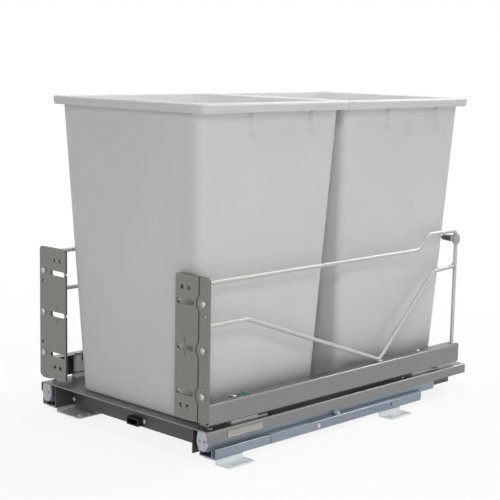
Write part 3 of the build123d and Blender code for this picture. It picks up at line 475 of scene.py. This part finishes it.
# a bin is rounded rectangles stacked by a table: each row gives half width, half depth, height and
# corner radius, and the tree lays a grid over them
def makeBinShell():
    tree, source, output = newTree("binShell", {"Corner Steps": 10, "Seam": 0.00001})
    rows = addNode(tree, "GeometryNodeAttributeDomainSize", {0: source["Geometry"]},
                   component="MESH").outputs["Point Count"]
    perCorner = mathNode(tree, "ADD", source["Corner Steps"], 1.0)
    columns = mathNode(tree, "ADD", mathNode(tree, "MULTIPLY", perCorner, 4.0), 1.0)
    grid = addNode(tree, "GeometryNodeMeshGrid", {"Size X": 1.0, "Size Y": 1.0, "Vertices X": rows,
                                                  "Vertices Y": columns}).outputs["Mesh"]
    place = tree.nodes.new("GeometryNodeInputPosition").outputs[0]
    spot = splitNode(tree, place)

    def countOn(axis, count):
        share = mathNode(tree, "ADD", spot[axis], 0.5)
        last = mathNode(tree, "SUBTRACT", count, 1.0)
        return mathNode(tree, "ROUND", mathNode(tree, "MULTIPLY", share, last))

    row, column = countOn(0, rows), countOn(1, columns)

    def fromRow(value, kind):
        return addNode(tree, "GeometryNodeSampleIndex",
                       {"Geometry": source["Geometry"], "Value": value, "Index": row},
                       data_type=kind).outputs[0]

    quarter = mathNode(tree, "DIVIDE", mathNode(tree, "ADD", column, 0.5), perCorner)
    quarter = mathNode(tree, "FLOOR", quarter)
    step = mathNode(tree, "SUBTRACT", column, mathNode(tree, "MULTIPLY", quarter, perCorner))
    turned = mathNode(tree, "ADD", quarter, mathNode(tree, "DIVIDE", step, source["Corner Steps"]))
    angle = mathNode(tree, "MULTIPLY", turned, quarterTurn)
    middle = mathNode(tree, "MULTIPLY", mathNode(tree, "ADD", quarter, 0.5), quarterTurn)
    half = splitNode(tree, fromRow(place, "FLOAT_VECTOR"))
    corner = fromRow(attribute(tree, "corner"), "FLOAT")
    ends = []
    for axis, wave in ((0, "COSINE"), (1, "SINE")):
        side = mathNode(tree, "SIGN", mathNode(tree, wave, middle))
        flat = mathNode(tree, "SUBTRACT", half[axis], corner)
        bend = mathNode(tree, "MULTIPLY", corner, mathNode(tree, wave, angle))
        ends.append(mathNode(tree, "ADD", mathNode(tree, "MULTIPLY", flat, side), bend))
    # the rows are read from the flat grid, so the mark is stored before the grid is laid
    marked = addNode(tree, "GeometryNodeStoreNamedAttribute",
                     {"Geometry": grid, "Name": "inner",
                      "Value": fromRow(attribute(tree, "inner"), "FLOAT")},
                     data_type="FLOAT", domain="POINT").outputs[0]
    laid = reshaped(tree, marked, "Position", vectorNode(tree, *ends, half[2]))
    closed = addNode(tree, "GeometryNodeMergeByDistance", {"Geometry": laid, "Distance": source["Seam"]})
    real = addNode(tree, "GeometryNodeRealizeInstances", {0: closed.outputs[0]})
    paint(tree, real.outputs[0], source["Finish"], output)
    return tree


# a gusset under the rim: an upright web with a blunt foot, its inner edge leaning with the wall
def makeRimGusset():
    tree, source, output = newTree("rimGusset", {"Reach": 0.008, "Height": 0.038, "Thickness": 0.002,
                                                 "Lean": 0.002})
    web = box(tree, source["Height"], source["Thickness"], source["Reach"])
    spot = splitNode(tree, tree.nodes.new("GeometryNodeInputPosition").outputs[0])
    down = mathNode(tree, "SUBTRACT", 0.5, mathNode(tree, "DIVIDE", spot[0], source["Height"]))
    inner = mathNode(tree, "MULTIPLY", mathNode(tree, "MULTIPLY", down, source["Lean"]), -1.0)
    share = mathNode(tree, "ADD", mathNode(tree, "DIVIDE", spot[2], source["Reach"]), 0.5)
    span = mathNode(tree, "SUBTRACT", source["Reach"], inner)
    out = mathNode(tree, "ADD", inner, mathNode(tree, "MULTIPLY", share, span))
    leaning = reshaped(tree, web, "Position", vectorNode(tree, spot[0], spot[1], out))
    turn = addNode(tree, "FunctionNodeEulerToRotation", {0: attribute(tree, "turn", "FLOAT_VECTOR")})
    gussets = standCopies(tree, source["Geometry"], leaning, turn.outputs[0])
    paint(tree, gussets, source["Finish"], output)
    return tree


panScrew = makePanScrew()
domeRivet = makeDomeRivet()
weldBead = makeWeldBead()
binShell = makeBinShell()
rimGusset = makeRimGusset()
print("trees: panScrew, domeRivet, weldBead, binShell, rimGusset")
doubleGap = 0.000002  # corners nearer than this are one


def placePiece(name, mesh, sharpAngle):
    tidy = bmesh.new()
    tidy.from_mesh(mesh)
    bmesh.ops.remove_doubles(tidy, verts=tidy.verts, dist=doubleGap)
    bmesh.ops.recalc_face_normals(tidy, faces=tidy.faces)
    tidy.to_mesh(mesh)
    tidy.free()
    mesh.polygons.foreach_set("use_smooth", [True] * len(mesh.polygons))
    mesh.set_sharp_from_angle(angle=math.radians(sharpAngle))
    return addObject(name, mesh)


# a tree is run on a mesh of points that carries the attributes, and its result becomes the piece;
# of the sizes it takes those that are its inputs
def growPiece(name, tree, points, attributes, sizes, finish, shift=(0.0, 0.0, 0.0), sharpAngle=35.0):
    seats = bpy.data.meshes.new(name + "Seats")
    seats.from_pydata(points, [], [])
    for label, (kind, values) in attributes.items():
        layer = seats.attributes.new(label, kind, "POINT")
        for item, value in zip(layer.data, values):
            setattr(item, "value" if kind == "FLOAT" else "vector", value)
    start = addObject(name + "Seats", seats)
    grow = start.modifiers.new("grow", "NODES")
    grow.node_group = tree
    wanted = dict(sizes, Finish=finish)
    for item in tree.interface.items_tree:
        if item.in_out == "INPUT" and item.name in wanted:
            grow[item.identifier] = wanted[item.name]
    bpy.context.view_layer.update()
    grown = bpy.data.meshes.new_from_object(start.evaluated_get(bpy.context.evaluated_depsgraph_get()))
    start.modifiers.remove(grow)
    bpy.data.objects.remove(start)
    grown.name = name
    grown.transform(Matrix.Translation(Vector(shift)))
    # the seats' empty slot goes, so that the finish is the only one
    grown.materials.clear()
    grown.materials.append(finish)
    grown.polygons.foreach_set("material_index", [0] * len(grown.polygons))
    return placePiece(name, grown, sharpAngle)


def facings(directions):
    return {"facing": ("FLOAT_VECTOR", directions)}


def screwPiece(name, spec, points, directions, node):
    piece = growPiece(name, panScrew, points, facings(directions), spec, finishes["screwZinc"])
    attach(piece, "carriage")
    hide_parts(node)


# four upright screws at the corners of their node's box
def cornerSeats(low, high, spec):
    inset = spec["Head Diameter"] / 2
    return [(x, y, high.z - spec["Head Height"]) for x in (low.x + inset, high.x - inset)
            for y in (low.y + inset, high.y - inset)]


plateScrew = {"Head Diameter": 0.008, "Head Height": 0.004, "Recess Length": 0.0048,
              "Recess Width": 0.0011, "Recess Depth": 0.0014, "Shank Diameter": 0.004,
              "Shank Length": 0.0055, "Cross": True}
low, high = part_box("plate_screws")
inset = plateScrew["Head Diameter"] / 2
points = [(x, low.y + plateScrew["Head Height"], z) for x in (low.x + inset, high.x - inset)
          for z in (low.z + inset, (low.z + high.z) / 2, high.z - inset)]
screwPiece("plateScrewSet", plateScrew, points, [(0, -1, 0)] * len(points), "plate_screws")

deckScrew = {"Head Diameter": 0.007, "Head Height": 0.0024, "Recess Length": 0.0042,
             "Recess Width": 0.001, "Recess Depth": 0.001, "Shank Diameter": 0.0034,
             "Shank Length": 0.0026, "Cross": True}
low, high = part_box("deck_screws")
points = cornerSeats(low, high, deckScrew)
screwPiece("deckScrewSet", deckScrew, points, [(0, 0, 1)] * len(points), "deck_screws")

crossbarScrew = {**deckScrew, "Shank Length": 0.006, "places": (-0.142, 0.0158, 0.142)}
low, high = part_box("crossbar_screws")
screwZ = (low.z + high.z) / 2
faces = ((low.y + crossbarScrew["Head Height"], -1), (high.y - crossbarScrew["Head Height"], 1))
points = [(midX + x, y, screwZ) for y, side in faces for x in crossbarScrew["places"]]
directions = [(0, side, 0) for y, side in faces for x in crossbarScrew["places"]]
screwPiece("crossbarScrewSet", crossbarScrew, points, directions, "crossbar_screws")

railScrew = {"Head Diameter": 0.008, "Head Height": 0.0026, "Recess Length": 0.0066,
             "Recess Width": 0.0013, "Recess Depth": 0.0012, "Shank Diameter": 0.004,
             "Shank Length": 0.0134, "Cross": False}
low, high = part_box("rail_screws")
points = cornerSeats(low, high, railScrew)
screwPiece("railScrewSet", railScrew, points, [(0, 0, 1)] * len(points), "rail_screws")
print("screws: four sets")

# rivets of the fixed rails: one through each sleeve, two under each foot
sleeveRivet = {"Head Diameter": 0.0064, "Head Height": 0.001, "along": 0.2105, "up": 0.0133}
low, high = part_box("rail_rivets")
faces = ((low.x + sleeveRivet["Head Height"], -1), (high.x - sleeveRivet["Head Height"], 1))
points = [(x, frontY + sleeveRivet["along"], sleeveRivet["up"]) for x, side in faces]
directions = [(side, 0, 0) for x, side in faces]
sleeveRivets = growPiece("sleeveRivetSet", domeRivet, points, facings(directions), sleeveRivet,
                         finishes["rivetZinc"])
footRivet = {"Head Diameter": 0.0065, "Head Height": 0.0011, "along": (0.021, 0.047, 0.359, 0.385),
             "underside": 0.005}
railMiddles = [sum(corner.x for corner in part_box(node)) / 2
               for node in ("drawer_rail_l", "drawer_rail_r")]
points = [(x, frontY + y, footRivet["underside"]) for x in railMiddles for y in footRivet["along"]]
footRivets = growPiece("footRivetSet", domeRivet, points, facings([(0, 0, -1)] * len(points)), footRivet,
                       finishes["rivetZinc"])
for piece in (sleeveRivets, footRivets):
    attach(piece, "cabinet_rails")
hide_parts("rail_rivets")
print("rivets: sleeve and foot sets")

# welds where the gallery wire meets plate, rail and post: a seat is along, up, and the way it faces
weld = {"Bead Width": 0.0104, "Bead Height": 0.0018, "Ripple": 0.0007, "across": 0.167,
        "sharpAngle": 80.0,
        "seats": ((0.002, 0.238, (0, 1, 0)), (0.002, 0.1815, (0, 1, 0)), (0.5472, 0.080, (0, 0, 1)),
                  (0.3632, 0.080, (0, 0, 1)), (0.5442, 0.204, (0, -1, 0)))}
points = [seat(side * weld["across"], y, z) for side in (-1, 1) for y, z, way in weld["seats"]]
directions = [way for side in (-1, 1) for y, z, way in weld["seats"]]
welds = growPiece("galleryWelds", weldBead, points, facings(directions), weld, finishes["wireNickel"],
                  sharpAngle=weld["sharpAngle"])
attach(welds, "carriage")
print("welds:", len(points))

# bins: shares are heights on the wall, as parts of the way from the base to the rim's foot
binForm = {"rimHalf": (0.1565, 0.14175), "overhang": (0.0125, 0.007), "taper": (0.022, 0.020),
           "height": 0.423, "rimBand": 0.0124, "rimRadius": 0.010, "bodyRadius": 0.015, "wall": 0.0022,
           "foot": 0.004, "footEnd": -8, "rimEdge": 0.0035, "rimSteps": 8, "lipRound": 0.002,
           "rimLean": 0.0012, "underRound": 0.001, "shoulder": 0.002, "skirtRound": 0.0006,
           "floorRound": 0.004, "bendSteps": 6, "cornerSteps": 12, "sharpAngle": 28.0,
           "outerShares": (0.1, 0.3, 0.5, 0.7, 0.85, 0.95, 1.0),
           "innerShares": (0.96, 0.85, 0.7, 0.5, 0.3, 0.1)}
gussetForm = {"places": (-0.046, 0.070), "height": 0.0382, "reach": 0.008, "thickness": 0.0026,
              "lean": 0.002, "rise": 0.0004}


# the section of the wall from the middle of the base outside, over the rim, to the middle of the floor
# inside; an outline is a half width, a half depth and a corner radius, which grow together
def binTable(form):
    wall, skirt, bends = form["wall"], form["height"] - form["rimBand"], form["bendSteps"]
    rim = (*form["rimHalf"], form["rimRadius"])
    top = (rim[0] - form["overhang"][0], rim[1] - form["overhang"][1], form["bodyRadius"])
    base = (top[0] - form["taper"][0], top[1] - form["taper"][1], form["bodyRadius"])
    rows = [(0.0, 0.0, 0.0, 0.0, 0.0)]
    inner = 0.0

    def ring(outline, out, z):
        halfX, halfY, corner = (size + out for size in outline)
        rows.append((halfX, halfY, z, corner, inner))

    # a bend between two angles in degrees, about a centre that lies away from the outline
    def arc(outline, away, z, radius, first, last, steps):
        for step in range(steps + 1):
            turn = math.radians(first + (last - first) * step / steps)
            ring(outline, away + radius * math.cos(turn), z + radius * math.sin(turn))

    def wallRows(shares, inset):
        for share in shares:
            ring([low + (high - low) * share for low, high in zip(base, top)], -inset, skirt * share)

    foot, edge, lip = form["foot"], form["rimEdge"], form["lipRound"]
    arc(base, -foot, foot, foot, -90, form["footEnd"], bends)
    wallRows(form["outerShares"], 0.0)
    under, bend, small = form["height"] - wall, form["underRound"], form["skirtRound"]
    ring(top, small, under - bend)
    ring(top, form["shoulder"], under)
    ring(rim, -wall - bend, under)
    ring(rim, -wall, under - bend)
    # the skirt of the rim leans in towards its foot
    for inset, lift in ((wall, small), (wall - small, 0.0), (small, 0.0), (0.0, small)):
        ring(rim, -form["rimLean"] - inset, skirt + lift)
    arc(rim, -edge, form["height"] - edge, edge, 0, 90, form["rimSteps"])
    # rows from here on are the inner wall, which the bin's finish paints paler as painted light
    inner = 1.0
    arc(top, lip - wall, form["height"] - lip, lip, 90 + 90 / bends, 180, bends - 1)
    wallRows(form["innerShares"], wall)
    floorRound = form["floorRound"]
    arc(base, -wall - floorRound, wall + floorRound, floorRound, 0, -90, bends)
    rows.append((0.0, 0.0, wall, 0.0, inner))
    return rows


def makeBin(name, node, body):
    low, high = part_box(node)
    centre = ((low.x + high.x) / 2, (low.y + high.y) / 2, low.z)
    table = binTable(binForm)
    columns = {"corner": ("FLOAT", [row[3] for row in table]),
               "inner": ("FLOAT", [row[4] for row in table])}
    shell = growPiece(name, binShell, [row[:3] for row in table], columns,
                      {"Corner Steps": binForm["cornerSteps"]}, finishes["binPlastic"], centre,
                      binForm["sharpAngle"])
    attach(shell, body)
    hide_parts(node)
    # the gussets start inside the wall; their x goes up and their z out of the wall
    sunk = binForm["wall"] / 2
    wallX = binForm["rimHalf"][0] - binForm["overhang"][0] - sunk
    middleZ = binForm["height"] - binForm["wall"] - gussetForm["height"] / 2 + gussetForm["rise"]
    points = [(side * wallX, y, middleZ) for side in (-1, 1) for y in gussetForm["places"]]
    turns = [(0.0, -quarterTurn, 0.0 if x < 0 else math.pi) for x, y, z in points]
    ribs = growPiece(name + "Gussets", rimGusset, points, {"turn": ("FLOAT_VECTOR", turns)},
                     {"Reach": gussetForm["reach"] + sunk, "Height": gussetForm["height"],
                      "Thickness": gussetForm["thickness"], "Lean": gussetForm["lean"]},
                     finishes["gussetPaintedLitPlastic"], centre)
    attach(ribs, body)


makeBin("frontBinShell", "front_bin", "front_bin")
makeBin("rearBinShell", "rear_bin", "rear_bin")
print("bins: two shells with gussets")

# badge: a bare plate with a raised border
badgeForm = {"border": 0.0009, "sink": 0.00025, "ease": 0.00025, "easeShare": 0.3, "corner": 0.0008,
             "leastCorner": 0.0002, "cornerSteps": 5, "sharpAngle": 30.0}


def roundedOutline(halfWidth, halfHeight, corner, steps):
    outline = []
    for quarter, (sideU, sideV) in enumerate(((1, 1), (-1, 1), (-1, -1), (1, -1))):
        for step in range(steps + 1):
            turn = math.radians(90 * quarter + 90 * step / steps)
            outline.append((sideU * (halfWidth - corner) + corner * math.cos(turn),
                            sideV * (halfHeight - corner) + corner * math.sin(turn)))
    return outline


def makeBadge():
    low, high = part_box("badge_plate")
    middleY, middleZ = (low.y + high.y) / 2, (low.z + high.z) / 2
    halfY, halfZ = (high.y - low.y) / 2, (high.z - low.z) / 2
    ease, border = badgeForm["ease"], badgeForm["border"]
    near = ease * badgeForm["easeShare"]
    rings = [(0.0, low.x), (0.0, high.x - ease), (near, high.x - near), (ease, high.x),
             (border, high.x), (border + ease, high.x - badgeForm["sink"])]
    mesh = bmesh.new()
    loops = []
    for inset, x in rings:
        corner = max(badgeForm["corner"] - inset, badgeForm["leastCorner"])
        outline = roundedOutline(halfY - inset, halfZ - inset, corner, badgeForm["cornerSteps"])
        loops.append([mesh.verts.new((x, middleY + u, middleZ + v)) for u, v in outline])
    for first, second in zip(loops, loops[1:]):
        for place in range(len(first)):
            after = (place + 1) % len(first)
            mesh.faces.new((first[place], first[after], second[after], second[place]))
    mesh.faces.new(loops[0])
    mesh.faces.new(loops[-1])
    made = bpy.data.meshes.new("barePlate")
    mesh.to_mesh(made)
    mesh.free()
    made.materials.append(finishes["badgeBare"])
    piece = placePiece("barePlate", made, badgeForm["sharpAngle"])
    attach(piece, "carriage")
    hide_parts("badge_plate")


makeBadge()
print("badge plate: bare, with a border")

# floor, light and camera; the floor's white grows with the distance from the object
studio = {"floorSize": 60.0, "floorTone": 0.9, "nearWhite": 0.87, "farWhite": 1.0, "whiteFrom": 0.45,
          "whiteTo": 1.1, "worldLevel": 0.16, "lampAim": (0.0, 0.0, 0.22)}
# each lamp's place, the side of its square and its power
lamps = {"frontLamp": ((1.7, -1.7, 0.35), 0.8, 3.0), "frontHighLamp": ((1.7, -1.7, 1.7), 0.7, 15.0),
         "sideLamp": ((2.6, 1.6, 1.2), 1.0, 3.4), "lowLamp": ((2.4, -0.2, 0.3), 1.0, 3.2),
         "backLamp": ((0.35, 2.4, 2.3), 1.1, 44.0), "leftLamp": ((-2.0, -0.4, 2.2), 0.6, 12.0),
         "topLamp": ((0.0, 0.1, 2.6), 1.6, 21.0)}
# the photograph's view: turned to the front right corner, tipped down, a slight roll
view = {"turn": 44.14, "tip": 8.73, "roll": 1.09, "lens": 93.708, "sensor": 36.0,
        "place": seat(1.34665, -1.1328, 0.5341)}


# rays of the camera: straight, reflected or let through
def seenRay(tree):
    path = tree.nodes.new("ShaderNodeLightPath").outputs
    seen = mathNode(tree, "ADD", path["Is Camera Ray"], path["Is Glossy Ray"], clamp=True)
    return mathNode(tree, "ADD", seen, path["Is Transmission Ray"], clamp=True)


def makeFloor():
    half, tone = studio["floorSize"] / 2, studio["floorTone"]
    mesh = bpy.data.meshes.new("studioFloor")
    mesh.from_pydata([(-half, -half, 0), (half, -half, 0), (half, half, 0), (-half, half, 0)], [],
                     [(0, 1, 2, 3)])
    floor = addObject("studioFloor", mesh)
    material = bpy.data.materials.new("palePaper")
    material.use_nodes = True
    tree = material.node_tree
    tree.nodes.clear()
    coords = tree.nodes.new("ShaderNodeTexCoord").outputs["Object"]
    away = addNode(tree, "ShaderNodeVectorMath", {0: coords}, operation="LENGTH").outputs["Value"]
    share = stretch(tree, away, studio["whiteFrom"], studio["whiteTo"], studio["nearWhite"],
                    studio["farWhite"])
    white = mathNode(tree, "MULTIPLY", seenRay(tree), share, clamp=True)
    paper = addNode(tree, "ShaderNodeBsdfDiffuse", {"Color": (tone, tone, tone)}).outputs[0]
    glow = addNode(tree, "ShaderNodeEmission", {"Strength": 1.0}).outputs[0]
    mix = addNode(tree, "ShaderNodeMixShader", {0: white, 1: paper, 2: glow}).outputs[0]
    addNode(tree, "ShaderNodeOutputMaterial", {"Surface": mix})
    mesh.materials.append(material)


# a faint even glow, seen by the camera and in reflections as plain white
def makeWorld():
    world = bpy.data.worlds.new("studioWorld")
    bpy.context.scene.world = world
    world.use_nodes = True
    tree = world.node_tree
    ground = tree.nodes["Background"].inputs
    level = addNode(tree, "ShaderNodeMix", {0: seenRay(tree), 2: studio["worldLevel"], 3: 1.0},
                    data_type="FLOAT")
    feed(tree, ground["Color"], (1.0, 1.0, 1.0))
    feed(tree, ground["Strength"], level.outputs[0])


def makeLamp(name, place, size, power):
    lamp = bpy.data.lights.new(name, "AREA")
    lamp.shape = "SQUARE"
    lamp.size = size
    lamp.energy = power
    holder = addObject(name, lamp)
    holder.location = place
    aim = Vector(studio["lampAim"]) - Vector(place)
    holder.rotation_euler = aim.to_track_quat("-Z", "Y").to_euler()


def makeCamera():
    turn, tip, roll = (math.radians(view[key]) for key in ("turn", "tip", "roll"))
    ahead = Vector((-math.sin(turn) * math.cos(tip), math.cos(turn) * math.cos(tip), -math.sin(tip)))
    side = Vector((math.cos(turn), math.sin(turn), 0.0))
    up = side.cross(ahead)
    across = side * math.cos(roll) + up * math.sin(roll)
    rise = up * math.cos(roll) - side * math.sin(roll)
    lens = bpy.data.cameras.new("photoView")
    lens.lens = view["lens"]
    lens.sensor_width = view["sensor"]
    lens.sensor_fit = "HORIZONTAL"
    camera = addObject("photoView", lens)
    matrix = Matrix((across, rise, -ahead)).transposed().to_4x4()
    matrix.translation = Vector(view["place"])
    camera.matrix_world = matrix
    bpy.context.scene.camera = camera


makeFloor()
makeWorld()
for lampName, spec in lamps.items():
    makeLamp(lampName, *spec)
makeCamera()
bpy.context.scene.view_settings.view_transform = "Standard"
print("studio: floor, world, seven lamps, camera")
